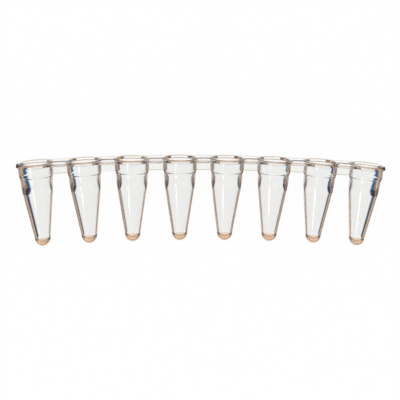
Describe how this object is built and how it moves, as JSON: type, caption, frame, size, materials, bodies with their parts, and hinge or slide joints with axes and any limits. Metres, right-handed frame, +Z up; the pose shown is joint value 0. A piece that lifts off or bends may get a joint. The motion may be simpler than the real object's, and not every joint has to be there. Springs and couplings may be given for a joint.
{
  "type": "pcr tube strip",
  "caption": "Row of thin-walled tapered lab tubes with open round mouths, joined at their flanges by short flat links in one clear plastic moulding.",
  "frame": {"origin": "middle of the strip's footprint on the surface that it lies on", "axes": "+X along the row of tubes, +Y from the tips towards the open mouths, +Z up, across the row"},
  "size_m": [0.07, 0.0176, 0.0072],
  "materials": {
    "clear_plastic": "clear natural polypropylene, polished inside and out, almost colourless"
  },
  "bodies": {
    "root": {"tube_strip": "clear_plastic"}
  },
  "joints": []
}
